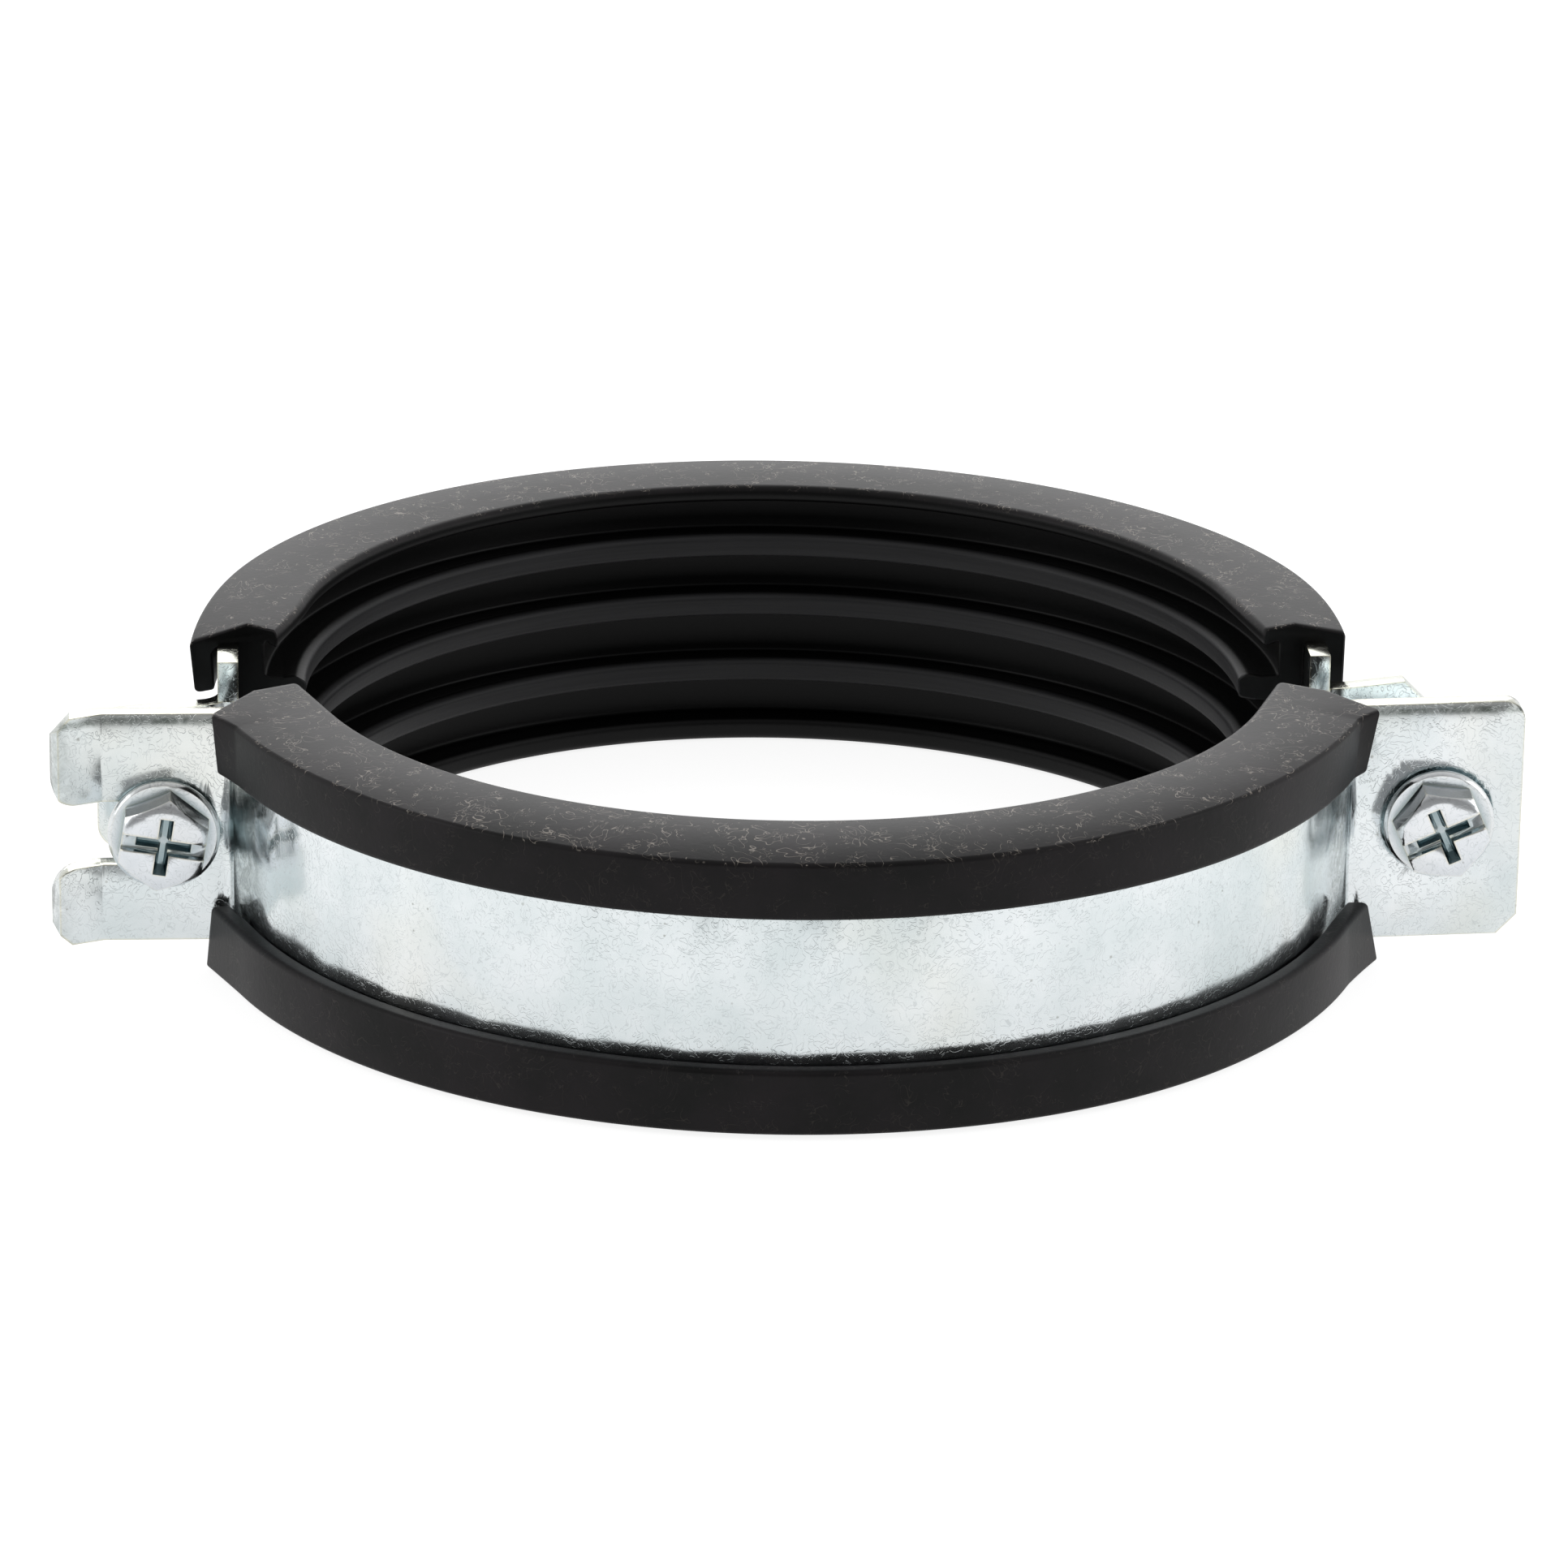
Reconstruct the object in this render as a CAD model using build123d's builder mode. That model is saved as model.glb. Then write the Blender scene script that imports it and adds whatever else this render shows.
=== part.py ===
from build123d import *
from math import cos, radians, sin, tan
import os

# Rubber lined two screw clamp for a pipe of 114 mm, standing open as delivered, in millimetres
# The origin is on the rear half's pipe axis at mid width: X to the right ear, Y to the rear, Z along the pipe

# Pipe seat and how far the halves stand apart
pipe_radius = 57.0
front_gap = 10.2
front_shift = 0.9

# Steel strip
strip_thickness = 2.5
strip_width = 30.0
bend_radius = 2.0

# Rubber lining, from the rib crests outward
rib_height = 5.2
rib_width = 2.8
rib_pitch = 8.35
rib_count = 3
wall_thickness = 3.1
flange_reach = 4.0
flange_thickness = 2.2
flange_bevel = 0.8
edge_cover = 2.3
shoulder_bevel = 1.2
lip_thickness = 2.25
lip_height = 7.0
lining_clearance = 0.05

# Ends of the rear lining, as distances behind the rear axis
rear_end_nose = 0.8
rear_end_middle = 2.6
rear_end_lip = 0.5

# Ends of the front lining, as distances in front of the front axis
front_end_nose = 11.0
front_end_middle = 13.3
front_end_shoulder = 18.6
upper_lip_slant = 1.7
lower_lip_slant = 1.0

# Rear ears
rear_ear_drop = 5.0
rear_cut_clearance = 0.2
left_tab_margin = 8.3
left_tab_root_half = 9.9
left_tab_end_half = 8.5
left_tab_round = 3.0
right_tab_margin = 5.3
right_tab_root_half = 10.4
right_tab_wide_half = 11.7
right_tab_chamfer = 7.3
collar_radius = 4.9
collar_length = 3.4

# Front legs and ears, measured from the front half's own axis
front_leg_angle = 20.0
front_ear_drop = 11.1
left_ear_margin = 13.4
left_ear_trim = 1.4
right_ear_margin = 10.2
right_ear_trim = 0.3
right_ear_lean = 4.0
right_ear_round = 2.5
right_ear_chamfer = 2.4
fork_width = 8.0
fork_play = 0.6
fork_tip_length = 5.6
fork_tip_angle = 24.0
fork_tip_bend = 0.8
prong_chamfer = 2.4
prong_round = 3.2
screw_hole_width = 7.0
screw_hole_length = 9.4

# Screws
screw_radius = 3.0
thread_clearance = 0.06
screw_length = 30.0
screw_tip_chamfer = 0.8
left_screw_offset = 6.4
right_screw_offset = 11.2
washer_radius = 6.7
washer_thickness = 1.1
washer_round = 0.4
hex_across_flats = 10.0
hex_height = 4.2
hex_chamfer_radius = 4.75
hex_chamfer_angle = 35.0
hex_turn = 30.0
slot_width = 1.9
slot_depth = 1.3
cross_span = 7.0
cross_width = 1.55
cross_depth = 2.8
cross_taper = 9.0
left_screw_turn = -9.0
right_screw_turn = 24.0

# Connection nut on the rear
nut_across_flats = 14.0
nut_length = 17.0
nut_chamfer = 0.8
nut_outer_thread_radius = 4.25
nut_outer_thread_depth = 8.0
nut_inner_thread_radius = 3.4
nut_seat_clearance = 0.02

# Radii and heights that follow from the sizes above
groove_radius = pipe_radius + rib_height
strip_inner = groove_radius + wall_thickness
strip_outer = strip_inner + strip_thickness
flange_radius = groove_radius - flange_reach
lip_radius = strip_outer + lip_thickness
channel_inner = strip_inner - lining_clearance
channel_outer = strip_outer + lining_clearance
left_screw_x = -strip_outer - left_screw_offset
right_screw_x = strip_outer + right_screw_offset
left_tab_reach = left_tab_margin - left_screw_x
right_tab_reach = right_screw_x + right_tab_margin
left_ear_reach = left_ear_margin - left_screw_x + front_shift
right_ear_reach = right_screw_x - front_shift + right_ear_margin
fork_crease = left_ear_reach - fork_tip_length
half_strip = strip_width / 2
half_channel = half_strip + 2 * lining_clearance
half_lining = half_strip + edge_cover
lip_edge = half_lining - shoulder_bevel - lip_height
outer_bend = bend_radius + strip_thickness
slack = 10.0
front_axis = Vector(front_shift, -front_gap, 0)
ear_face_drop = front_ear_drop + strip_thickness / cos(radians(right_ear_lean))
rear_cut = -rear_ear_drop + rear_cut_clearance
rib_levels = [(index - (rib_count - 1) / 2) * rib_pitch for index in range(rib_count)]


def section_plane(angle):
    """Radial plane through a half's pipe axis, its local x pointing outward at an angle from +X."""
    across = sin(radians(angle))
    along = cos(radians(angle))
    return Plane(origin=(0, 0, 0), x_dir=(along, across, 0), z_dir=(across, -along, 0))


def leg_point(side, radius, drop):
    """Point at a drop below the front axis on the straight leg that is tangent to an arc of this radius."""
    leg = radians(front_leg_angle)
    return Vector(side * (radius - drop * sin(leg)) / cos(leg), -drop)


# Lining section: a channel that hooks round both strip edges, with ribs towards the pipe
with BuildSketch() as lining_section:
    with BuildLine():
        Polyline(
            (groove_radius, 0),
            (groove_radius, half_lining - flange_thickness),
            (flange_radius, half_lining - flange_thickness),
            (flange_radius, half_lining - flange_bevel),
            (flange_radius + flange_bevel, half_lining),
            (lip_radius - shoulder_bevel, half_lining),
            (lip_radius, half_lining - shoulder_bevel),
            (lip_radius, lip_edge),
            (channel_outer, lip_edge),
            (channel_outer, half_channel),
            (channel_inner, half_channel),
            (channel_inner, 0),
            close=True,
        )
    make_face()
    mirror(about=Plane.XZ)
    with Locations(*[(pipe_radius, level) for level in rib_levels]):
        Rectangle(rib_height, rib_width, align=(Align.MIN, Align.CENTER))


# Rear lining: half a turn of the section, its ends cut a little hollow
with BuildPart() as rear_lining:
    with BuildSketch(section_plane(0)):
        add(lining_section.sketch)
    revolve(axis=Axis.Z, revolution_arc=180)
    with BuildSketch(Plane.XY.offset(-half_lining - slack)):
        with BuildLine():
            hollow = ThreePointArc(
                (flange_radius - flange_bevel, rear_end_nose),
                ((flange_radius + lip_radius) / 2, rear_end_middle),
                (lip_radius + lining_clearance, rear_end_lip),
            )
            Polyline(
                hollow @ 1,
                (lip_radius + slack, rear_end_lip),
                (lip_radius + slack, -slack),
                (0, -slack),
                (0, rear_end_nose),
                hollow @ 0,
            )
        make_face()
        mirror(about=Plane.YZ)
    extrude(amount=2 * (half_lining + slack), mode=Mode.SUBTRACT)
rear_lining.part.label = "rear_lining"


# Front lining: an arc with two straight legs, its ends mitred and its lips cut back to clear the ears
with BuildPart() as lip_trims:
    with BuildSketch(Plane.YZ.offset(-lip_radius - slack)):
        with BuildLine():
            Polyline(
                (-front_end_shoulder, half_channel),
                (-front_end_shoulder - upper_lip_slant, lip_edge - lining_clearance),
                (slack, lip_edge - lining_clearance),
                (slack, half_channel),
                (-front_end_shoulder, half_channel),
            )
        make_face()
        with BuildLine():
            Polyline(
                (-front_end_shoulder, -half_channel),
                (-front_end_shoulder - lower_lip_slant, lining_clearance - lip_edge),
                (slack, lining_clearance - lip_edge),
                (slack, -half_channel),
                (-front_end_shoulder, -half_channel),
            )
        make_face()
    extrude(amount=2 * (lip_radius + slack))
    Cylinder(channel_outer, 2 * (half_lining + slack), mode=Mode.SUBTRACT)

with BuildPart() as front_lining:
    with BuildSketch(section_plane(180 + front_leg_angle)):
        add(lining_section.sketch)
    revolve(axis=Axis.Z, revolution_arc=180 - 2 * front_leg_angle)
    leg_run = lip_radius * sin(radians(front_leg_angle))
    with BuildSketch(section_plane(180 + front_leg_angle)):
        add(lining_section.sketch)
    extrude(amount=leg_run)
    with BuildSketch(section_plane(-front_leg_angle)):
        add(lining_section.sketch)
    extrude(amount=-leg_run)
    with BuildSketch(Plane.XY.offset(-half_lining - slack)):
        with BuildLine():
            mitre = ThreePointArc(
                leg_point(1, flange_radius - flange_bevel, front_end_nose),
                leg_point(1, (flange_radius + lip_radius) / 2, front_end_middle),
                leg_point(1, lip_radius + lining_clearance, front_end_shoulder),
            )
            Polyline(
                mitre @ 1,
                (lip_radius + slack, -front_end_shoulder),
                (lip_radius + slack, slack),
                (0, slack),
                (0, -front_end_nose),
                mitre @ 0,
            )
        make_face()
        mirror(about=Plane.YZ)
    extrude(amount=2 * (half_lining + slack), mode=Mode.SUBTRACT)
    add(lip_trims.part, mode=Mode.SUBTRACT)
front_lining.part = front_lining.part.moved(Location(front_axis))
front_lining.part.label = "front_lining"


# Half ring of the rear band, whose full width runs straight on to the cut
rear_bend_start = outer_bend - rear_ear_drop
with BuildPart() as rear_ring:
    with BuildSketch(Plane.XY.offset(-half_strip)):
        Circle(strip_outer)
        Circle(strip_inner, mode=Mode.SUBTRACT)
        Rectangle(2 * strip_outer, strip_outer, align=(Align.CENTER, Align.MAX), mode=Mode.SUBTRACT)
        with Locations((strip_inner, 0)):
            Rectangle(strip_thickness, -rear_cut, align=(Align.MIN, Align.MAX))
        with Locations((-strip_inner, 0)):
            Rectangle(strip_thickness, -rear_cut, align=(Align.MAX, Align.MAX))
    extrude(amount=strip_width)
    with BuildSketch(Plane.XZ.offset(-rear_bend_start)):
        with Locations((-strip_outer, 0)):
            Rectangle(2 * outer_bend, 2 * left_tab_root_half)
        with Locations((strip_outer, 0)):
            Rectangle(2 * outer_bend, 2 * right_tab_root_half)
    extrude(amount=rear_ear_drop, mode=Mode.SUBTRACT)


# Narrower ears lanced and folded out of its middle, cut to the tabs' outline seen from the front
with BuildPart() as rear_tabs:
    with BuildSketch(Plane.XY.offset(-half_strip)):
        with BuildLine():
            right_fold = FilletPolyline(
                (strip_inner, 0),
                (strip_inner, -rear_ear_drop),
                (right_tab_reach, -rear_ear_drop),
                radius=outer_bend,
            )
            offset(amount=strip_thickness, side=Side.LEFT)
        make_face()
        with BuildLine():
            left_fold = FilletPolyline(
                (-strip_inner, 0),
                (-strip_inner, -rear_ear_drop),
                (-left_tab_reach, -rear_ear_drop),
                radius=outer_bend,
            )
            offset(amount=strip_thickness, side=Side.RIGHT)
        make_face()
    extrude(amount=strip_width)
    with BuildSketch(Plane.XZ):
        with BuildLine():
            Polyline(
                (strip_inner, -right_tab_root_half),
                (right_tab_reach - right_tab_chamfer, -right_tab_wide_half),
                (right_tab_reach, right_tab_chamfer - right_tab_wide_half),
                (right_tab_reach, right_tab_wide_half - right_tab_chamfer),
                (right_tab_reach - right_tab_chamfer, right_tab_wide_half),
                (strip_inner, right_tab_root_half),
                close=True,
            )
        make_face()
        with BuildLine():
            Polyline(
                (-strip_inner, left_tab_root_half),
                (-left_tab_reach, left_tab_end_half),
                (-left_tab_reach, -left_tab_end_half),
                (-strip_inner, -left_tab_root_half),
                close=True,
            )
        left_tab_outline = make_face()
        fillet(left_tab_outline.vertices().group_by(Axis.X)[0], radius=left_tab_round)
    extrude(amount=strip_outer, both=True, mode=Mode.INTERSECT)


# Rear band in one piece, with an extruded and tapped collar behind each tab
tab_back = -rear_ear_drop + strip_thickness
with BuildPart() as rear_band:
    add(rear_ring.part)
    add(rear_tabs.part)
    for screw_x in (left_screw_x, right_screw_x):
        with BuildSketch(Plane.XZ.offset(-tab_back)):
            with Locations((screw_x, 0)):
                Circle(collar_radius)
        extrude(amount=-collar_length)
    with BuildSketch(Plane.XZ.offset(-tab_back - collar_length)):
        with Locations((left_screw_x, 0), (right_screw_x, 0)):
            Circle(screw_radius + thread_clearance)
    extrude(amount=collar_length + strip_thickness, mode=Mode.SUBTRACT)
rear_band.part.label = "rear_band"


# Front band: arc, straight legs and both ears folded from one strip, then cut to the outline seen from the front
left_corner = leg_point(-1, strip_inner, front_ear_drop)
right_corner = leg_point(1, strip_inner, front_ear_drop)
with BuildPart() as front_band:
    left_arc_end = leg_point(-1, strip_inner, strip_inner * sin(radians(front_leg_angle)))
    right_arc_end = leg_point(1, strip_inner, strip_inner * sin(radians(front_leg_angle)))
    crease = Vector(-fork_crease, -front_ear_drop)
    tip_run = fork_tip_length / cos(radians(fork_tip_angle))
    tip = crease + Vector(-cos(radians(fork_tip_angle)), -sin(radians(fork_tip_angle))) * tip_run
    right_run = right_ear_reach - right_corner.X
    right_end = right_corner + Vector(right_run, right_run * tan(radians(right_ear_lean)))
    with BuildSketch(Plane.XY.offset(-half_strip)):
        with BuildLine():
            FilletPolyline(
                tip,
                crease,
                left_corner,
                left_arc_end,
                radius=[fork_tip_bend + strip_thickness, outer_bend],
            )
            ThreePointArc(left_arc_end, (0, -strip_inner), right_arc_end)
            FilletPolyline(right_arc_end, right_corner, right_end, radius=outer_bend)
            offset(amount=strip_thickness, side=Side.RIGHT)
        make_face()
    extrude(amount=strip_width)
    with BuildSketch(Plane.XZ) as ear_outline:
        ear_root = right_corner.X
        Rectangle(2 * ear_root, strip_width)
        with Locations((ear_root, half_strip)):
            right_ear_height = strip_width - right_ear_trim
            Rectangle(right_ear_reach - ear_root, right_ear_height, align=(Align.MIN, Align.MAX))
        lower_corner, upper_corner = ear_outline.vertices().group_by(Axis.X)[-1].sort_by(Axis.Y)
        fillet(upper_corner, radius=right_ear_round)
        lower_corner = ear_outline.vertices().group_by(Axis.X)[-1].sort_by(Axis.Y)[0]
        chamfer(lower_corner, length=right_ear_chamfer)
        prong_run = left_ear_reach - ear_root
        prong_height = half_strip - fork_width / 2
        with Locations((-ear_root, half_strip)):
            Rectangle(prong_run, prong_height, align=(Align.MAX, Align.MAX))
        with Locations((-ear_root, -fork_width / 2)):
            Rectangle(prong_run, prong_height - left_ear_trim, align=(Align.MAX, Align.MAX))
        prong_corners = ear_outline.vertices().group_by(Axis.X)[0].sort_by(Axis.Y)
        chamfer([prong_corners[0], prong_corners[-1]], length=prong_chamfer)
        fillet(prong_corners[1:3], radius=prong_round)
        fork_end = left_screw_x - front_shift + fork_play
        with Locations((fork_end, 0)):
            Rectangle(-ear_root - fork_end, fork_width, align=(Align.MIN, Align.CENTER))
            Circle(fork_width / 2, mode=Mode.SUBTRACT)
        with Locations((right_screw_x - front_shift, 0)):
            SlotOverall(screw_hole_length, screw_hole_width, mode=Mode.SUBTRACT)
    extrude(amount=strip_outer + slack, mode=Mode.INTERSECT)
front_band.part = front_band.part.moved(Location(front_axis))
front_band.part.label = "front_band"


def clamp_screw(screw_x, seat_drop, turn):
    """Screw with a flanged hexagon head and a combined cross and slot recess, seated on its front ear."""
    seat = (screw_x, -front_gap - seat_drop, 0)
    face_plane = Plane(seat, x_dir=(cos(radians(turn)), 0, sin(radians(turn))), z_dir=(0, -1, 0))
    radial_plane = Plane(seat, x_dir=(1, 0, 0), z_dir=(0, 0, -1))
    head_height = washer_thickness + hex_height
    chamfer_foot = head_height - (hex_across_flats - hex_chamfer_radius) * tan(radians(hex_chamfer_angle))
    with BuildPart() as screw:
        with BuildSketch(face_plane):
            RegularPolygon(hex_across_flats / 2, 6, major_radius=False, rotation=hex_turn)
        extrude(amount=head_height)
        with BuildSketch(radial_plane):
            with BuildLine():
                Polyline(
                    (0, 0),
                    (hex_across_flats, 0),
                    (hex_across_flats, chamfer_foot),
                    (hex_chamfer_radius, head_height),
                    (0, head_height),
                    close=True,
                )
            make_face()
        revolve(axis=Axis(seat, (0, -1, 0)), mode=Mode.INTERSECT)
        with BuildSketch(radial_plane):
            with BuildLine():
                Polyline(
                    (0, washer_thickness),
                    (washer_radius - washer_round, washer_thickness),
                    (washer_radius, washer_thickness - washer_round),
                    (washer_radius, 0),
                    (screw_radius, 0),
                    (screw_radius, screw_tip_chamfer - screw_length),
                    (screw_radius - screw_tip_chamfer, -screw_length),
                    (0, -screw_length),
                    close=True,
                )
            make_face()
        revolve(axis=Axis(seat, (0, -1, 0)))
        with BuildSketch(face_plane.offset(head_height)):
            Rectangle(2 * hex_across_flats, slot_width)
        extrude(amount=-slot_depth, mode=Mode.SUBTRACT)
        with BuildSketch(face_plane.offset(head_height)):
            Rectangle(cross_span, cross_width)
            Rectangle(cross_width, cross_span)
        extrude(amount=-cross_depth, taper=cross_taper, mode=Mode.SUBTRACT)
    return screw.part


left_screw = clamp_screw(left_screw_x, front_ear_drop + strip_thickness, left_screw_turn)
left_screw.label = "left_screw"
inner_rim = right_screw_x - front_shift - washer_radius - right_corner.X
right_screw = clamp_screw(
    right_screw_x, ear_face_drop - inner_rim * tan(radians(right_ear_lean)), right_screw_turn
)
right_screw.label = "right_screw"


# Connection nut welded to the middle of the rear band, with two thread sizes one behind the other
with BuildPart() as connection_nut:
    nut_mouth = Plane((0, strip_outer + nut_length, 0), x_dir=(1, 0, 0), z_dir=(0, 1, 0))
    with BuildSketch(nut_mouth):
        RegularPolygon(nut_across_flats / 2, 6, major_radius=False)
    extrude(amount=-nut_length - strip_thickness)
    chamfer(connection_nut.faces().sort_by(Axis.Y)[-1].edges(), length=nut_chamfer)
    with BuildSketch(nut_mouth):
        Circle(nut_outer_thread_radius)
    extrude(amount=-nut_outer_thread_depth, mode=Mode.SUBTRACT)
    with BuildSketch(nut_mouth):
        Circle(nut_inner_thread_radius)
    extrude(amount=-nut_length - strip_thickness, mode=Mode.SUBTRACT)
    Cylinder(strip_outer + nut_seat_clearance, strip_width, mode=Mode.SUBTRACT)
connection_nut.part.label = "connection_nut"

os.makedirs("parts", exist_ok=True)
pieces = [
    rear_band.part,
    front_band.part,
    rear_lining.part,
    front_lining.part,
    left_screw,
    right_screw,
    connection_nut.part,
]
for piece in pieces:
    export_step(piece, f"parts/{piece.label}.step")
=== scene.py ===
from math import atan2, cos, hypot, pi, radians, sin

import bmesh
import bpy
import numpy as np
from mathutils import Matrix, Vector


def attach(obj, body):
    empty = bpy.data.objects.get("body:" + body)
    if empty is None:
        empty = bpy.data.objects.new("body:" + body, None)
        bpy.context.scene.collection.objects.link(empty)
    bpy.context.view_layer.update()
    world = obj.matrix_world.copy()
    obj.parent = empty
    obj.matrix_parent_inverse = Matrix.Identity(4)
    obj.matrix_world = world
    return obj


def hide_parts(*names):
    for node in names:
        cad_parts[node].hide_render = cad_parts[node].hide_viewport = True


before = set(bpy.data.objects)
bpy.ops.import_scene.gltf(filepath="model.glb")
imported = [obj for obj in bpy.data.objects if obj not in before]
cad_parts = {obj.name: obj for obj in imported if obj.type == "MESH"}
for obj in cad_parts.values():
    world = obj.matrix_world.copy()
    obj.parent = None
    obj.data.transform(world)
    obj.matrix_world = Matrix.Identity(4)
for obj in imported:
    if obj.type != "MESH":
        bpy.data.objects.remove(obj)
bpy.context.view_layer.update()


# Camera
# A long lens close to the clamp's mid height, looking down a little and turned slightly to its left.
# Its place and lens come from the picture's own curves and corners.
camera_azimuth = radians(-3.906)
camera_elevation = radians(19.481)
camera_roll = radians(0.904)
camera_distance = 0.95636
camera_target = Vector((0.00108, -0.00558, -0.00083))
camera_back = Vector((
    sin(camera_azimuth) * cos(camera_elevation),
    -cos(camera_azimuth) * cos(camera_elevation),
    sin(camera_elevation),
))
level_right = Vector((cos(camera_azimuth), sin(camera_azimuth), 0))
level_up = level_right.cross(-camera_back)
camera_right = level_right * cos(camera_roll) + level_up * sin(camera_roll)
camera_up = level_up * cos(camera_roll) - level_right * sin(camera_roll)
camera_data = bpy.data.cameras.new("camera")
camera_data.sensor_width = 36
camera_data.lens = 179.83
camera_data.clip_start = 0.01
camera_data.clip_end = 50
camera = bpy.data.objects.new("camera", camera_data)
bpy.context.scene.collection.objects.link(camera)
camera.matrix_world = Matrix.Translation(camera_target + camera_back * camera_distance) @ Matrix(
    (camera_right, camera_up, camera_back)
).transposed().to_4x4()
bpy.context.scene.camera = camera
bpy.context.scene.view_settings.view_transform = "Standard"


# Rubber linings
# Each half carries an extruded rubber channel that hooks round both edges of the strip, with three ribs
# towards the pipe. It is black, matt and dusty, with fine curly scratches on its upper and lower faces.
# Its rib crests are painted lighter as painted light and its inner side is painted darker as painted shade.
# Sizes are in millimetres from the pipe's axis and from mid width.
mm = 0.001
pipe_radius = 57.0
groove_radius = 62.2
flange_radius = 58.2
strip_inner = 65.25
strip_outer = 67.85
lip_radius = 70.05
half_lining = 17.3
flange_bottom = 15.1
lip_edge = 9.1
lower_flange_top = 14.4
rim_middle = 64.0
rim_fold = 63.0
rib_levels = (-7.4, 1.5, 9.5)


def rounded_corners(corners, step=0.16):
    """Outline points with each corner (x, y, radius) rounded by an arc, or kept sharp at radius 0."""
    outline = []
    for index, (x, y, radius) in enumerate(corners):
        here = np.array((x, y))
        before = np.array(corners[index - 1][:2]) - here
        after = np.array(corners[(index + 1) % len(corners)][:2]) - here
        before_length, after_length = hypot(*before), hypot(*after)
        before, after = before / before_length, after / after_length
        if radius == 0:
            outline.append(here)
            continue
        opening = np.arccos(np.clip(before @ after, -1, 1))
        run = min(radius / np.tan(opening / 2), before_length * 0.49, after_length * 0.49)
        arc_radius = run * np.tan(opening / 2)
        centre = here + (before + after) / hypot(*(before + after)) * arc_radius / sin(opening / 2)
        start = here + before * run - centre
        end = here + after * run - centre
        turn = (atan2(end[1], end[0]) - atan2(start[1], start[0]) + pi) % (2 * pi) - pi
        steps = max(3, int(abs(turn) * arc_radius / step))
        for part in range(steps + 1):
            angle = atan2(start[1], start[0]) + turn * part / steps
            outline.append(centre + arc_radius * np.array((cos(angle), sin(angle))))
    return np.array(outline)


def rib_corners(level):
    """One rib from its foot below to its foot above: a neck that leans up a little, under a rounded head."""
    return [
        (groove_radius, level - 2.2, 0.5),
        (pipe_radius + 2.4, level - 1.9, 0.8),
        (pipe_radius + 0.2, level - 1.3, 0.7),
        (pipe_radius, level + 1.2, 0.6),
        (pipe_radius + 1.3, level + 1.7, 0.8),
        (pipe_radius + 3.0, level + 1.1, 1.0),
        (groove_radius, level + 1.1, 0.4),
    ]


lining_outline = rounded_corners(
    [
        (strip_inner, -flange_bottom, 0.9),
        (strip_outer, -flange_bottom, 0.9),
        (strip_outer, -lip_edge, 0.35),
        (lip_radius, -lip_edge, 0.7),
        (lip_radius, -half_lining, 0.5),
        (rim_middle, -half_lining, 0),
        (flange_radius, -half_lining, 1.05),
        (flange_radius, -lower_flange_top, 0.9),
        (groove_radius, -lower_flange_top, 0.7),
        *[corner for level in rib_levels for corner in rib_corners(level)],
        (groove_radius, flange_bottom, 0.7),
        (flange_radius, flange_bottom, 1.0),
        (flange_radius, half_lining, 1.05),
        (rim_middle, half_lining, 0),
        (lip_radius, half_lining, 0.5),
        (lip_radius, lip_edge, 0.7),
        (strip_outer, lip_edge, 0.35),
        (strip_outer, flange_bottom, 0.9),
        (strip_inner, flange_bottom, 0.9),
    ]
)
outline_ahead = np.roll(lining_outline, -1, axis=0) - np.roll(lining_outline, 1, axis=0)
outline_normals = np.stack([outline_ahead[:, 1], -outline_ahead[:, 0]], axis=1)
outline_normals /= np.linalg.norm(outline_normals, axis=1)[:, None]
outline_radii, outline_levels = lining_outline.T
inner_side = (outline_radii < strip_inner - 1) & (abs(outline_levels) < half_lining - 0.6)
on_rim_face = abs(outline_levels) > half_lining - 0.25
# Scratch shares per corner; the inner side's nought also paints it darker as painted shade.
lip_mark_share = 0.12
marked_shares = np.where(inner_side, 0.0, np.where(on_rim_face, 1.0, lip_mark_share))
# Rib crests, which the material paints lighter as painted light.
crest_depth = 0.9
crest_shares = np.where(inner_side & (outline_radii < pipe_radius + crest_depth), 1.0, 0.0)
cut_wear = 0.2
cap_wear = 0.24


def swept_lining(name, place, stations):
    """Mesh of the outline swept through its stations, (how far along, how far the cut edge is worn back).

    Each corner also keeps how many scratches show there, nought on the inner side, which that share also
    paints darker as painted shade, and whether it is on a rib's crest, which is painted lighter as painted
    light.
    """
    mesh = bpy.data.meshes.new(name)
    lining_mesh = bmesh.new()
    marked_layer = lining_mesh.verts.layers.float.new("marked")
    crest_layer = lining_mesh.verts.layers.float.new("crest")
    rings = []
    for along, worn in stations:
        ring = []
        for (r, z), marked_share, crest_share in zip(
            lining_outline + worn * outline_normals, marked_shares, crest_shares
        ):
            corner = lining_mesh.verts.new(Vector(place(r, z, along)) * mm)
            corner[marked_layer] = 0 if worn > cut_wear else marked_share
            corner[crest_layer] = 0 if worn > cut_wear else crest_share
            ring.append(corner)
        rings.append(ring)
    for ring, following in zip(rings, rings[1:]):
        for index in range(len(ring)):
            lining_mesh.faces.new((ring[index - 1], ring[index], following[index], following[index - 1]))
    lining_mesh.faces.new(rings[0])
    lining_mesh.faces.new(rings[-1][::-1])
    bmesh.ops.recalc_face_normals(lining_mesh, faces=lining_mesh.faces)
    lining_mesh.to_mesh(mesh)
    lining_mesh.free()
    mesh.shade_smooth()
    mesh.set_sharp_from_angle(angle=radians(50))
    lining = bpy.data.objects.new(name, mesh)
    bpy.context.scene.collection.objects.link(lining)
    return lining


def smooth_share(value, start, end):
    """Share from 0 at start to 1 at end, eased at both."""
    share = np.clip((value - start) / (end - start), 0, 1)
    return share * share * (3 - 2 * share)


def curve_through(*points):
    """The parabola nearest to these (x, y) points, as a function."""
    return np.poly1d(np.polyfit(*zip(*points), 2))


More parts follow.
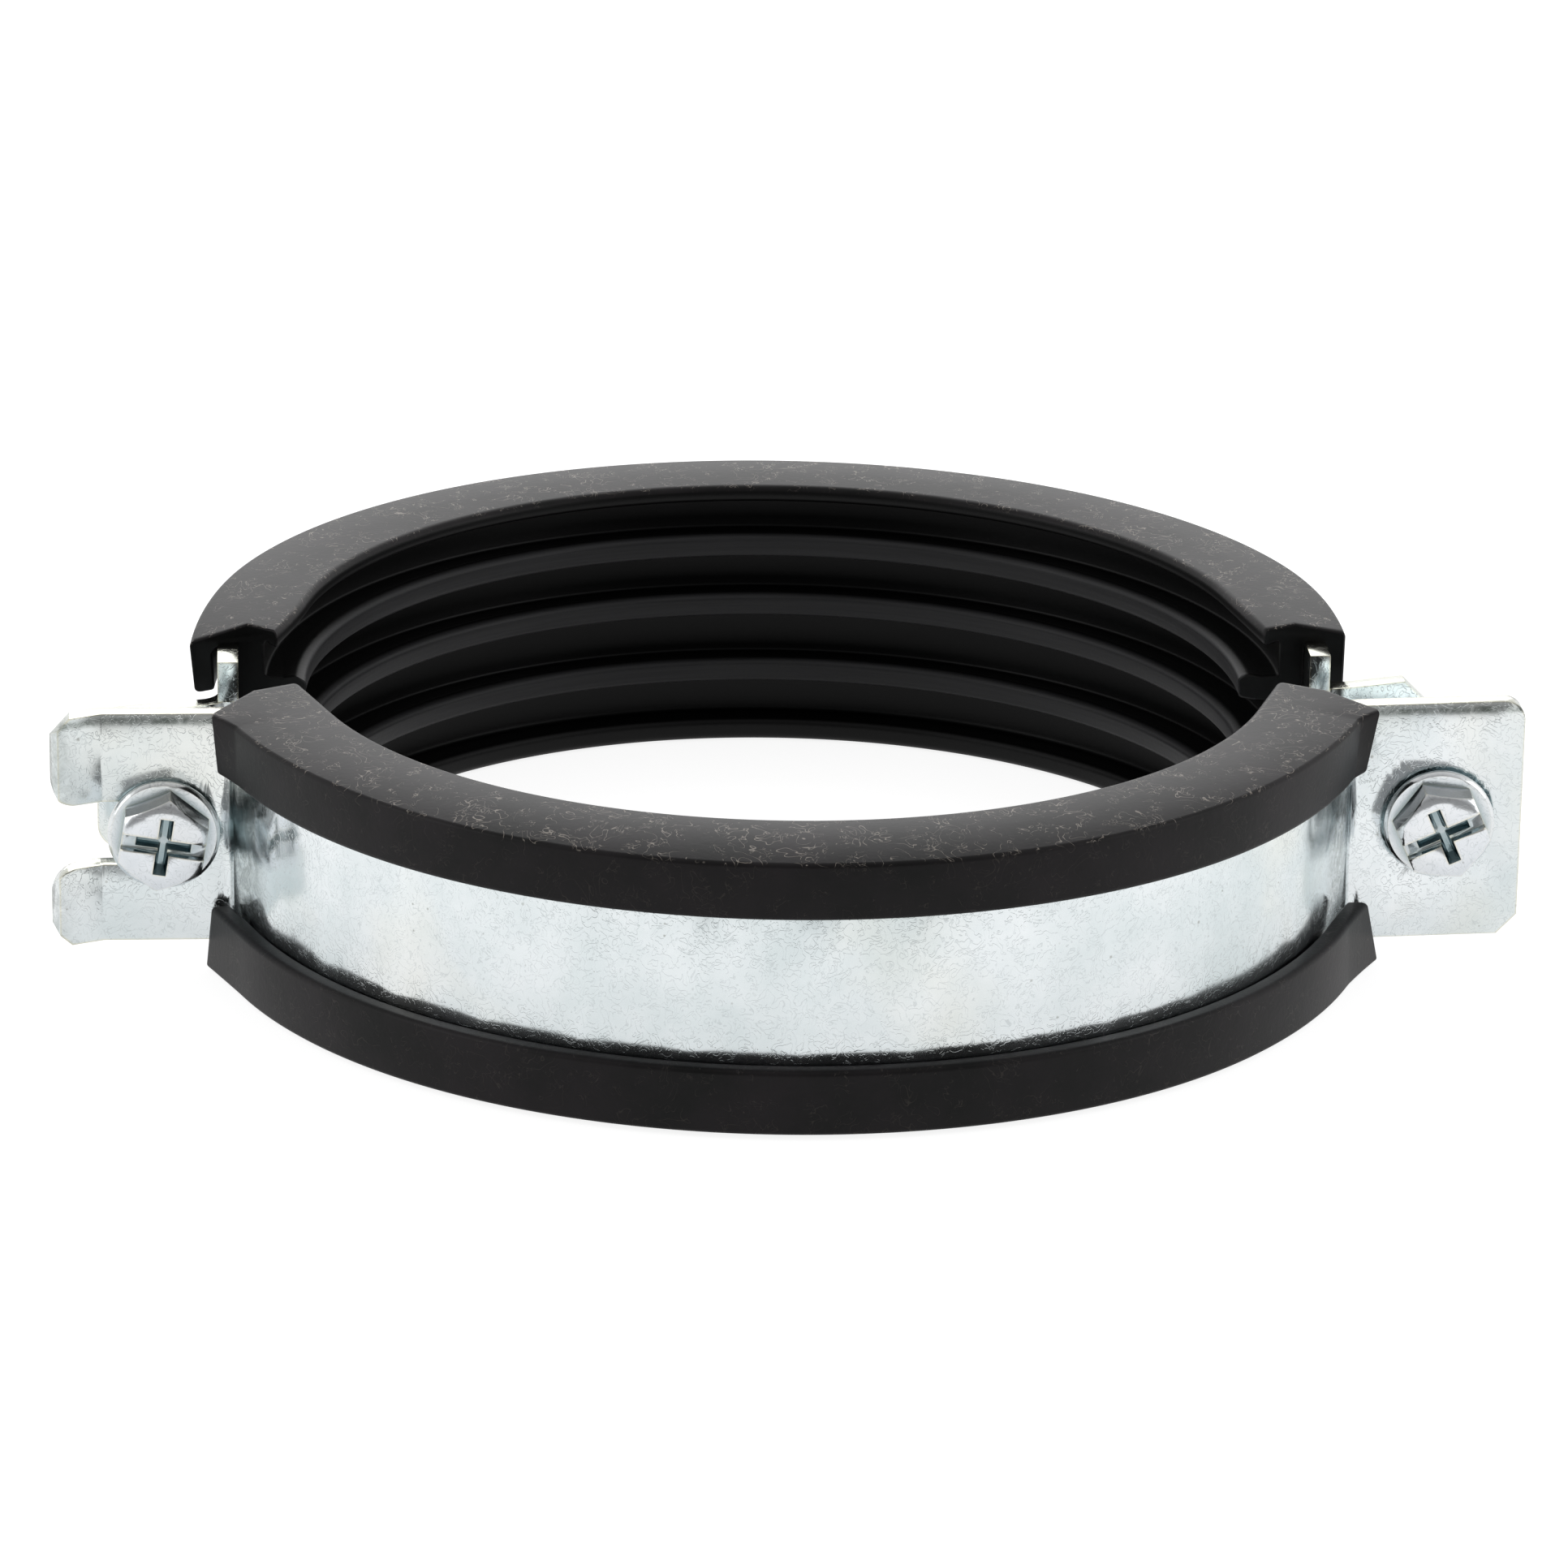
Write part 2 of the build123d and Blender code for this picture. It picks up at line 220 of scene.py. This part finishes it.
def splay(r, z, amount, from_end, reach):
    """How far the free lip stands off near a cut end: most at the rim, less at the lip's own edge."""
    outward = np.clip((r - groove_radius) / (lip_radius - groove_radius), 0, 1)
    return amount * outward * (abs(z) / half_lining) ** 1.4 * max(0, 1 - from_end / reach) ** 2


def curl_back(r, z, amount, from_end, reach):
    """How far the inner flange curls away from the pipe near a cut end."""
    inward = np.clip((groove_radius - r) / (groove_radius - flange_radius), 0, 1)
    on_flange = smooth_share(abs(z), lower_flange_top - 3, lower_flange_top)
    return amount * inward * on_flange * max(0, 1 - from_end / reach) ** 2


def droop(r, z, outer, inner):
    """How far the rim drops at the lip and at the flange's tip, on the upper side, or rises on the lower."""
    at_lip = outer * np.clip((r - rim_fold) / (lip_radius - rim_fold), 0, 1) ** 1.5
    at_flange = inner * np.clip((rim_fold - r) / (rim_fold - flange_radius), 0, 1) ** 1.5
    on_rim = smooth_share(abs(z), lip_edge, half_lining)
    return (at_lip + at_flange) * on_rim * (1 if z > 0 else -1)


rear_cuts = {
    1: curve_through((57.4, -0.2), (60, 0.1), (64.1, 1.0), (70.1, 0.1)),
    -1: curve_through((57.4, 1.0), (60, 1.6), (64.1, 3.6), (70.1, 0.8)),
}
rear_splays = {1: 0.2, -1: 1.4}
rear_curls = {1: 1.9, -1: 2.4}
rear_droops = {1: 1.1, -1: 1.8}
rear_tip_droop = 0.7
rear_cut_reach = 0.06
rear_splay_reach = 0.12
rear_curl_reach = 0.075
rear_steps = 220


def rear_place(r, z, along):
    """Point of the rear lining at a share of its half turn, its hollow cut fading out near each end."""
    side = 1 if along < 0.5 else -1
    from_end = min(along, 1 - along)
    angle = pi * from_end + rear_cuts[side](r) / r * max(0, 1 - from_end / rear_cut_reach)
    end_share = max(0, 1 - from_end / rear_splay_reach) ** 2 if z > 0 else 0
    z = z - droop(r, z, rear_droops[side] * end_share, rear_tip_droop * end_share)
    splayed = splay(r, z, rear_splays[side], from_end, rear_splay_reach)
    curled = curl_back(r, z, rear_curls[side], from_end, rear_curl_reach)
    r = r + splayed + curled
    return side * r * cos(angle), r * sin(angle), z


rear_edge = cut_wear / (pi * rim_middle)
rear_stations = [(0, cap_wear), (0, cut_wear), (rear_edge, 0)]
rear_stations += [(part / rear_steps, 0) for part in range(1, rear_steps)]
rear_stations += [(1 - rear_edge, 0), (1, cut_wear), (1, cap_wear)]
rear_lining = swept_lining("rear_lining_rubber", rear_place, rear_stations)

front_shift = 0.9
front_gap = 10.2
leg_angle = radians(20)
upper_mitres = {
    1: curve_through((57.4, 10.8), (60.3, 11.8), (66.2, 16.3), (70, 22.0)),
    -1: curve_through((57.4, 9.2), (60, 9.7), (64.4, 12.0), (70, 20.9)),
}
lower_mitres = {
    1: curve_through((57.4, 11.4), (63, 12.4), (70, 14.5)),
    -1: curve_through((57.4, 11.0), (63, 12.0), (70, 13.2)),
}
lip_cuts = {(1, 1): (21.3, 22.8), (1, -1): (16.0, 15.4), (-1, 1): (18.9, 21.2), (-1, -1): (14.2, 14.6)}
front_splays = {(1, 1): 2.7, (1, -1): 2.0, (-1, 1): 2.4, (-1, -1): 0.5}
front_droops = {1: 1.4, -1: 0.4}
leg_share = 0.12


def front_place(r, z, along):
    """Point of the front lining: straight leg, arc and other leg, with the lips cut back at the ends."""
    side = 1 if along < 0.5 else -1
    level = 1 if z > 0 else -1
    from_end = min(along, 1 - along)
    upper_share = smooth_share(z, -half_lining, half_lining)
    end_drop = lower_mitres[side](r) + upper_share * (upper_mitres[side](r) - lower_mitres[side](r))
    on_hooked_lip = r > strip_inner + 1.5 and abs(z) < flange_bottom
    if on_hooked_lip:
        edge_drop, shoulder_drop = lip_cuts[side, level]
        lip_share = (abs(z) - lip_edge) / (flange_bottom - lip_edge)
        end_drop = edge_drop + lip_share * (shoulder_drop - edge_drop)
    stand_off = splay(r, z, front_splays[side, level], from_end, leg_share * 2)
    z = z - droop(r, z, front_droops[level] * sin(pi * from_end), 0)
    if from_end < leg_share:
        drop = end_drop + (r * sin(leg_angle) - end_drop) * from_end / leg_share
        x = side * ((r - drop * sin(leg_angle)) / cos(leg_angle) + stand_off)
        return x + front_shift, -drop - front_gap, z
    turn = leg_angle + (pi / 2 - leg_angle) * (from_end - leg_share) / (0.5 - leg_share)
    r = r + stand_off
    return side * r * cos(turn) + front_shift, -r * sin(turn) - front_gap, z


front_edge = 0.02 * leg_share
leg_steps = 16
arc_steps = 180
front_leg = [leg_share * part / leg_steps for part in range(1, leg_steps)]
front_arc = [leg_share + (1 - 2 * leg_share) * part / arc_steps for part in range(arc_steps + 1)]
front_stations = [(0, cap_wear), (0, cut_wear)]
front_stations += [(along, 0) for along in [front_edge, *front_leg, *front_arc]]
front_stations += [(1 - along, 0) for along in [*reversed(front_leg), front_edge]]
front_stations += [(1, cut_wear), (1, cap_wear)]
front_lining = swept_lining("front_lining_rubber", front_place, front_stations)


def add_node(tree, kind, inputs=(), **settings):
    """A shader node with its settings, its sockets filled by number or name with values or other sockets."""
    made = tree.nodes.new("ShaderNode" + kind)
    for key, value in settings.items():
        setattr(made, key, value)
    for socket, value in dict(inputs).items():
        if isinstance(value, bpy.types.NodeSocket):
            tree.links.new(value, made.inputs[socket])
        else:
            made.inputs[socket].default_value = value
    return made


def blend_colours(tree, share, first, second):
    """Colour that goes from the first to the second by a share."""
    return add_node(tree, "Mix", {0: share, 6: first, 7: second}, data_type="RGBA").outputs[2]


def new_group(name, inputs, outputs):
    """An empty node group with these sockets, its input and output nodes in place."""
    group = bpy.data.node_groups.new(name, "ShaderNodeTree")
    for socket_name, kind, value in inputs:
        socket = group.interface.new_socket(socket_name, in_out="INPUT", socket_type="NodeSocket" + kind)
        if value is not None:
            socket.default_value = value
    for socket_name, kind in outputs:
        group.interface.new_socket(socket_name, in_out="OUTPUT", socket_type="NodeSocket" + kind)
    return group, group.nodes.new("NodeGroupInput").outputs, group.nodes.new("NodeGroupOutput").inputs


def place_group(tree, group, inputs=()):
    """A node group placed in a material with its own values."""
    placed = tree.nodes.new("ShaderNodeGroup")
    placed.node_tree = group
    for socket, value in dict(inputs).items():
        if isinstance(value, bpy.types.NodeSocket):
            tree.links.new(value, placed.inputs[socket])
        else:
            placed.inputs[socket].default_value = value
    return placed


curly_scratches, given, made_output = new_group(
    "curly scratches",
    [("Scale", "Float", 500.0), ("Width", "Float", 0.01), ("Cover", "Float", 0.5), ("Seed", "Float", 0.0)],
    [("Mask", "Float")],
)
place = add_node(curly_scratches, "TexCoord").outputs["Object"]
swirl = add_node(
    curly_scratches,
    "TexNoise",
    {"Vector": place, "W": given["Seed"], "Scale": given["Scale"], "Detail": 1.0, "Distortion": 2.2},
    noise_dimensions="4D",
)
from_level = add_node(curly_scratches, "Math", {0: swirl.outputs["Fac"], 1: 0.5}, operation="SUBTRACT")
off_line = add_node(curly_scratches, "Math", {0: from_level.outputs[0]}, operation="ABSOLUTE")
on_line = add_node(
    curly_scratches,
    "MapRange",
    {"Value": off_line.outputs[0], "From Min": given["Width"], "From Max": 0.0},
    interpolation_type="SMOOTHSTEP",
)
coarse = add_node(curly_scratches, "Math", {0: given["Scale"], 1: 0.8}, operation="MULTIPLY")
breaks = add_node(
    curly_scratches,
    "TexNoise",
    {"Vector": place, "W": given["Seed"], "Scale": coarse.outputs[0], "Detail": 2.0},
    noise_dimensions="4D",
)
cover_end = add_node(curly_scratches, "Math", {0: given["Cover"], 1: 0.06}, operation="ADD")
broken = add_node(
    curly_scratches,
    "MapRange",
    {"Value": breaks.outputs["Fac"], "From Min": given["Cover"], "From Max": cover_end.outputs[0]},
)
mask = add_node(curly_scratches, "Math", {0: on_line.outputs[0], 1: broken.outputs[0]}, operation="MULTIPLY")
curly_scratches.links.new(mask.outputs[0], made_output["Mask"])

specks, given, made_output = new_group(
    "specks",
    [("Scale", "Float", 600.0), ("Size", "Float", 0.2), ("Share", "Float", 0.1)],
    [("Mask", "Float")],
)
place = add_node(specks, "TexCoord").outputs["Object"]
cells = add_node(specks, "TexVoronoi", {"Vector": place, "Scale": given["Scale"]})
cell_value = add_node(specks, "SeparateColor", {"Color": cells.outputs["Color"]})
chosen = add_node(specks, "Math", {0: cell_value.outputs[0], 1: given["Share"]}, operation="LESS_THAN")
dot_size = add_node(specks, "Math", {0: given["Size"], 1: cell_value.outputs[1]}, operation="MULTIPLY")
dot = add_node(
    specks, "MapRange", {"Value": cells.outputs["Distance"], "From Min": dot_size.outputs[0], "From Max": 0.0}
)
mask = add_node(specks, "Math", {0: dot.outputs[0], 1: chosen.outputs[0]}, operation="MULTIPLY")
specks.links.new(mask.outputs[0], made_output["Mask"])

black_rubber = bpy.data.materials.new("black rubber")
black_rubber.use_nodes = True
tree = black_rubber.node_tree
shader = tree.nodes["Principled BSDF"]
place = add_node(tree, "TexCoord").outputs["Object"]
dust = add_node(tree, "TexNoise", {"Vector": place, "Scale": 90.0, "Detail": 5.0, "Roughness": 0.6})
dust_share = add_node(tree, "MapRange", {"Value": dust.outputs["Fac"], "From Min": 0.35, "From Max": 0.65})
dusty = blend_colours(tree, dust_share.outputs[0], (0.003, 0.003, 0.003, 1), (0.014, 0.0115, 0.013, 1))
marks_and_shade_place = add_node(tree, "Attribute", attribute_name="marked").outputs["Fac"]
crest_place = add_node(tree, "Attribute", attribute_name="crest").outputs["Fac"]
outside = add_node(tree, "MapRange", {"Value": marks_and_shade_place, "From Max": 0.1})
# Painted shade: the inner side is near black; the cut end faces get the same near black.
dust_and_shade_tone = blend_colours(tree, outside.outputs[0], (0.0015, 0.0015, 0.0016, 1), dusty)
# Painted light: the rib crests get a lighter grey, in long streaks.
stretched = add_node(tree, "Mapping", {"Vector": place, "Scale": (60, 60, 2200)})
streaks = add_node(tree, "TexNoise", {"Vector": stretched.outputs[0], "Scale": 1.0, "Detail": 3.0})
crest_painted_light_tone = blend_colours(tree, streaks.outputs["Fac"], (0.014, 0.014, 0.015, 1), (0.044, 0.044, 0.046, 1))
dust_shade_and_crest_light_tone = blend_colours(tree, crest_place, dust_and_shade_tone, crest_painted_light_tone)
hairs = place_group(tree, curly_scratches, {"Scale": 260.0, "Width": 0.012, "Cover": 0.5, "Seed": 3.0})
short_hairs = place_group(tree, curly_scratches, {"Scale": 520.0, "Width": 0.018, "Cover": 0.53, "Seed": 8.0})
crumbs = place_group(tree, specks, {"Scale": 700.0, "Size": 0.2, "Share": 0.03})
all_hairs = add_node(
    tree, "Math", {0: hairs.outputs["Mask"], 1: short_hairs.outputs["Mask"]}, operation="MAXIMUM"
)
marks = add_node(tree, "Math", {0: all_hairs.outputs[0], 1: crumbs.outputs["Mask"]}, operation="MAXIMUM")
shown_marks = add_node(tree, "Math", {0: marks.outputs[0], 1: marks_and_shade_place}, operation="MULTIPLY")
marked = blend_colours(tree, shown_marks.outputs[0], dust_shade_and_crest_light_tone, (0.28, 0.25, 0.22, 1))
grain = add_node(tree, "TexNoise", {"Vector": place, "Scale": 1600.0, "Detail": 3.0})
grain_bump = add_node(tree, "Bump", {"Height": grain.outputs["Fac"], "Distance": 0.00004, "Strength": 0.5})
tree.links.new(marked, shader.inputs["Base Color"])
tree.links.new(grain_bump.outputs["Normal"], shader.inputs["Normal"])
shader.inputs["Roughness"].default_value = 0.42
shader.inputs["Specular IOR Level"].default_value = 0.19

for lining, body, node in (
    (rear_lining, "rear_half", "rear_lining"),
    (front_lining, "front_half", "front_lining"),
):
    lining.data.materials.append(black_rubber)
    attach(lining, body)
    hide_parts(node)


# Steel bands
# Both halves are bent from 2.5 mm strip with their ears, then barrel plated with bright zinc, which leaves
# a pale bluish skin full of fine swirls, small grime spots and a thin yellow tint along the cut edges.
edge_rim, given, made_output = new_group("edge rim", [("Radius", "Float", 0.0005)], [("Mask", "Float")])
rounded = add_node(edge_rim, "Bevel", {"Radius": given["Radius"]}, samples=6)
flat_normal = add_node(edge_rim, "NewGeometry").outputs["Normal"]
agreement = add_node(
    edge_rim, "VectorMath", {0: rounded.outputs["Normal"], 1: flat_normal}, operation="DOT_PRODUCT"
)
rim = add_node(edge_rim, "MapRange", {"Value": agreement.outputs["Value"], "From Min": 0.98, "From Max": 0.8})
edge_rim.links.new(rim.outputs[0], made_output["Mask"])


def plated_steel(name, pale, shaded, roughness_range, swirl_height):
    """Zinc plated steel: tone and gloss in soft patches, swirls, grime spots and tinted edges."""
    material = bpy.data.materials.new(name)
    material.use_nodes = True
    tree = material.node_tree
    shader = tree.nodes["Principled BSDF"]
    place = add_node(tree, "TexCoord").outputs["Object"]
    patches = add_node(tree, "TexNoise", {"Vector": place, "Scale": 45.0, "Detail": 6.0, "Roughness": 0.65})
    patch_share = add_node(
        tree, "MapRange", {"Value": patches.outputs["Fac"], "From Min": 0.35, "From Max": 0.65}
    )
    tone = blend_colours(tree, patch_share.outputs[0], pale, shaded)
    rim = place_group(tree, edge_rim, {"Radius": 0.0006})
    rim_share = add_node(tree, "Math", {0: rim.outputs["Mask"], 1: 0.8}, operation="MULTIPLY")
    rimmed = blend_colours(tree, rim_share.outputs[0], tone, (0.74, 0.66, 0.40, 1))
    yellow = add_node(tree, "TexNoise", {"Vector": place, "Scale": 28.0, "Detail": 3.0, "Roughness": 0.6})
    yellow_share = add_node(
        tree, "MapRange", {"Value": yellow.outputs["Fac"], "From Min": 0.52, "From Max": 0.75, "To Max": 0.5}
    )
    yellowed = blend_colours(tree, yellow_share.outputs[0], rimmed, (0.84, 0.81, 0.68, 1))
    spots = place_group(tree, specks, {"Scale": 640.0, "Size": 0.2, "Share": 0.2})
    spot_share = add_node(tree, "Math", {0: spots.outputs["Mask"], 1: 0.75}, operation="MULTIPLY")
    spotted = blend_colours(tree, spot_share.outputs[0], yellowed, (0.2, 0.19, 0.15, 1))
    swirls = place_group(tree, curly_scratches, {"Scale": 620.0, "Width": 0.03, "Cover": 0.36, "Seed": 5.0})
    swirl_share = add_node(tree, "Math", {0: swirls.outputs["Mask"], 1: 0.42}, operation="MULTIPLY")
    scratched = blend_colours(tree, swirl_share.outputs[0], spotted, (0.46, 0.50, 0.51, 1))
    smoothest, roughest = roughness_range
    roughness = add_node(
        tree,
        "MapRange",
        {
            "Value": patches.outputs["Fac"],
            "From Min": 0.3,
            "From Max": 0.7,
            "To Min": smoothest,
            "To Max": roughest,
        },
    )
    ripple = add_node(tree, "TexNoise", {"Vector": place, "Scale": 260.0, "Detail": 4.0})
    ripple_bump = add_node(
        tree, "Bump", {"Height": ripple.outputs["Fac"], "Distance": swirl_height, "Strength": 0.4}
    )
    swirl_bump = add_node(
        tree,
        "Bump",
        {
            "Height": swirls.outputs["Mask"],
            "Distance": swirl_height / 4,
            "Strength": 0.7,
            "Normal": ripple_bump.outputs["Normal"],
        },
    )
    tree.links.new(scratched, shader.inputs["Base Color"])
    tree.links.new(roughness.outputs[0], shader.inputs["Roughness"])
    tree.links.new(swirl_bump.outputs["Normal"], shader.inputs["Normal"])
    shader.inputs["Metallic"].default_value = 1
    return material


zinc_strip = plated_steel(
    "zinc plated strip", (0.86, 0.895, 0.91, 1), (0.70, 0.765, 0.775, 1), (0.1, 0.22), 0.00004
)
# Where the front band is painted darker, in metres from its middle and from mid width: a painted dark
# reflection at both bends, and darker zones at the fork tips and under the ears' upper edge.
bend_out = 0.0651
ear_start = 0.069
darkened_edge_level = 0.0141
fork_tip_start = -0.0845
fork_tip_end = -0.0885


def dull_cut_edges(material):
    """Makes the strip's sheared upper and lower edges duller and yellower than its rolled faces."""
    tree = material.node_tree
    base_colour = tree.nodes["Principled BSDF"].inputs["Base Color"]
    plating = base_colour.links[0].from_socket
    facing = add_node(tree, "SeparateXYZ", {"Vector": add_node(tree, "NewGeometry").outputs["Normal"]})
    upright = add_node(tree, "Math", {0: facing.outputs["Z"]}, operation="ABSOLUTE")
    cut_share = add_node(
        tree, "MapRange", {"Value": upright.outputs[0], "From Min": 0.5, "From Max": 0.9, "To Max": 0.7}
    )
    tree.links.new(blend_colours(tree, cut_share.outputs[0], plating, (0.62, 0.61, 0.50, 1)), base_colour)


def paint_front_reflection_and_darkening(material):
    """Darkens the plating: a painted dark reflection at both bends, and darker at the fork tips and under the
    upper edge.
    """
    tree = material.node_tree
    base_colour = tree.nodes["Principled BSDF"].inputs["Base Color"]
    plating = base_colour.links[0].from_socket
    place = add_node(tree, "TexCoord").outputs["Object"]
    where = add_node(tree, "SeparateXYZ", {"Vector": place})
    darkening_noise = add_node(
        tree,
        "TexNoise",
        {"Vector": place, "Scale": 300.0, "Detail": 5.0, "Roughness": 0.7, "Distortion": 1.5},
    )
    darkening_share = add_node(
        tree, "MapRange", {"Value": darkening_noise.outputs["Fac"], "From Min": 0.3, "From Max": 0.6}
    )
    from_middle = add_node(tree, "Math", {0: where.outputs["X"], 1: front_shift * mm}, operation="SUBTRACT")
    outward = add_node(tree, "Math", {0: from_middle.outputs[0]}, operation="ABSOLUTE")
    to_bend = add_node(tree, "Math", {0: outward.outputs[0], 1: bend_out}, operation="SUBTRACT")
    off_bend = add_node(tree, "Math", {0: to_bend.outputs[0]}, operation="ABSOLUTE")
    at_bend = add_node(
        tree,
        "MapRange",
        {"Value": off_bend.outputs[0], "From Min": 0.0024, "From Max": 0.0004},
        interpolation_type="SMOOTHSTEP",
    )
    on_ear = add_node(tree, "Math", {0: outward.outputs[0], 1: ear_start}, operation="GREATER_THAN")
    to_edge = add_node(tree, "Math", {0: where.outputs["Z"], 1: darkened_edge_level}, operation="SUBTRACT")
    off_edge = add_node(tree, "Math", {0: to_edge.outputs[0]}, operation="ABSOLUTE")
    at_edge = add_node(
        tree,
        "MapRange",
        {"Value": off_edge.outputs[0], "From Min": 0.0008, "From Max": 0.0001},
        interpolation_type="SMOOTHSTEP",
    )
    under_edge = add_node(tree, "Math", {0: at_edge.outputs[0], 1: on_ear.outputs[0]}, operation="MULTIPLY")
    bend_share = add_node(tree, "Math", {0: at_bend.outputs[0], 1: 0.75}, operation="MULTIPLY")
    either = add_node(tree, "Math", {0: bend_share.outputs[0], 1: under_edge.outputs[0]}, operation="MAXIMUM")
    at_tip = add_node(
        tree,
        "MapRange",
        {
            "Value": from_middle.outputs[0],
            "From Min": fork_tip_start,
            "From Max": fork_tip_end,
            "To Max": 0.6,
        },
        interpolation_type="SMOOTHSTEP",
    )
    any_place = add_node(tree, "Math", {0: either.outputs[0], 1: at_tip.outputs[0]}, operation="MAXIMUM")
    share = add_node(
        tree, "Math", {0: any_place.outputs[0], 1: darkening_share.outputs[0]}, operation="MULTIPLY"
    )
    # Painted dark reflection at the bends; plain darker tone at the fork tips and under the upper edge.
    tree.links.new(blend_colours(tree, share.outputs[0], plating, (0.25, 0.28, 0.26, 1)), base_colour)


def soften_edges(piece, width):
    """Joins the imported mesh's split corners, rounds its sharp edges a little and shades it smooth."""
    weld = piece.modifiers.new("joined corners", "WELD")
    weld.merge_threshold = 0.000002
    worn = piece.modifiers.new("worn edges", "BEVEL")
    worn.width = width
    worn.segments = 2
    worn.limit_method = "ANGLE"
    worn.angle_limit = radians(40)
    worn.harden_normals = True
    piece.data.shade_smooth()


dull_cut_edges(zinc_strip)
front_strip = zinc_strip.copy()
front_strip.name = "zinc plated front strip"
paint_front_reflection_and_darkening(front_strip)
for node_name, plating in (("rear_band", zinc_strip), ("front_band", front_strip)):
    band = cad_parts[node_name]
    band.data.materials.clear()
    band.data.materials.append(plating)
    soften_edges(band, 0.00022)


# Clamp screws
# Cold headed M6 screws with a flange, a hexagon and a cross and slot recess, plated brighter than the strip.
# They sit on the front ears and turn in the tapped collars of the rear ears.
bright_zinc = plated_steel(
    "bright zinc screw", (0.86, 0.88, 0.90, 1), (0.70, 0.74, 0.78, 1), (0.12, 0.22), 0.000012
)
tree = bright_zinc.node_tree
base_colour = tree.nodes["Principled BSDF"].inputs["Base Color"]
bright_plating = base_colour.links[0].from_socket
# Painted shade: deep in the recess the plating turns a darker teal grey, by ambient occlusion.
openness = add_node(tree, "AmbientOcclusion", {"Distance": 0.002}, samples=8)
recess_shade_share = add_node(
    tree, "MapRange", {"Value": openness.outputs["AO"], "From Min": 0.92, "From Max": 0.45}
)
painted_recess_shade = blend_colours(tree, recess_shade_share.outputs[0], bright_plating, (0.32, 0.40, 0.42, 1))
tree.links.new(painted_recess_shade, base_colour)
for node_name in ("left_screw", "right_screw"):
    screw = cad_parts[node_name]
    screw.data.materials.clear()
    screw.data.materials.append(bright_zinc)
    soften_edges(screw, 0.0001)


# Connection nut
# A long hexagon nut of zinc plated steel, welded to the middle of the rear band, behind it in the photo.
# It is tapped with two sizes, one behind the other, for the rod that carries the clamp.
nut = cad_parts["connection_nut"]
nut.data.materials.clear()
nut.data.materials.append(
    plated_steel("zinc plated nut", (0.84, 0.87, 0.885, 1), (0.70, 0.75, 0.765, 1), (0.16, 0.28), 0.00002)
)
soften_edges(nut, 0.0002)


# Floor and light
# A plain white table in a white tent, which is duller overhead and in front. Two broad lamps stand
# behind the clamp, one of them high, and a small one at each side.
floor_clearance = 0.0002
floor_level = -half_lining * mm - floor_clearance
floor_mesh = bpy.data.meshes.new("floor")
floor_shape = bmesh.new()
bmesh.ops.create_grid(floor_shape, x_segments=1, y_segments=1, size=3)
floor_shape.to_mesh(floor_mesh)
floor_shape.free()
floor = bpy.data.objects.new("floor", floor_mesh)
floor.location = (0, 0, floor_level)
bpy.context.scene.collection.objects.link(floor)
white_table = bpy.data.materials.new("white table")
white_table.use_nodes = True
table_tree = white_table.node_tree
table_shader = table_tree.nodes["Principled BSDF"]
table_shader.inputs["Base Color"].default_value = (0.35, 0.35, 0.35, 1)
table_shader.inputs["Roughness"].default_value = 0.9
table_shader.inputs["Emission Color"].default_value = (1, 1, 1, 1)
table_rays = add_node(table_tree, "LightPath")
table_mirrored = add_node(
    table_tree, "Math", {0: table_rays.outputs["Is Glossy Ray"], 1: 0.72}, operation="MULTIPLY"
)
table_glow = add_node(
    table_tree,
    "Math",
    {0: table_rays.outputs["Is Camera Ray"], 1: 0.87, 2: table_mirrored.outputs[0]},
    operation="MULTIPLY_ADD",
)
table_tree.links.new(table_glow.outputs[0], table_shader.inputs["Emission Strength"])
floor_mesh.materials.append(white_table)

world = bpy.data.worlds.new("white tent")
bpy.context.scene.world = world
world.use_nodes = True
world_tree = world.node_tree
tent = world_tree.nodes["Background"]
tent_rays = add_node(world_tree, "LightPath")
tent_place = add_node(world_tree, "TexCoord").outputs["Generated"]
tent_direction = add_node(world_tree, "SeparateXYZ", {"Vector": tent_place})
tent_roof = add_node(
    world_tree,
    "MapRange",
    {"Value": tent_direction.outputs["Z"], "From Min": 0.3, "From Max": 0.95, "To Min": 1.0, "To Max": 0.6},
)
tent_front = add_node(
    world_tree,
    "MapRange",
    {"Value": tent_direction.outputs["Y"], "From Min": -0.2, "From Max": -0.8, "To Min": 1.0, "To Max": 0.3},
)
tent_wall = add_node(
    world_tree, "Math", {0: tent_roof.outputs[0], 1: tent_front.outputs[0]}, operation="MULTIPLY"
)
tent_strength = add_node(
    world_tree,
    "Mix",
    {0: tent_rays.outputs["Is Camera Ray"], 2: tent_wall.outputs[0], 3: 1.0},
    data_type="FLOAT",
)
world_tree.links.new(tent_strength.outputs[0], tent.inputs["Strength"])
tent.inputs["Color"].default_value = (1, 1, 1, 1)


def soft_box(name, place, size, power):
    """Square area lamp that faces the clamp."""
    lamp_data = bpy.data.lights.new(name, "AREA")
    lamp_data.size = size
    lamp_data.energy = power
    lamp = bpy.data.objects.new(name, lamp_data)
    lamp.location = place
    lamp.rotation_mode = "QUATERNION"
    lamp.rotation_quaternion = (-Vector(place)).to_track_quat("-Z", "Y")
    bpy.context.scene.collection.objects.link(lamp)


soft_box("back light", (0.0, 1.3, 0.46), 1.1, 3.4)
soft_box("high back light", (0.0, 1.0, 1.15), 0.9, 3.2)
soft_box("left light", (-0.9, -0.3, 0.4), 0.5, 0.8)
soft_box("right light", (0.9, -0.3, 0.4), 0.5, 0.8)
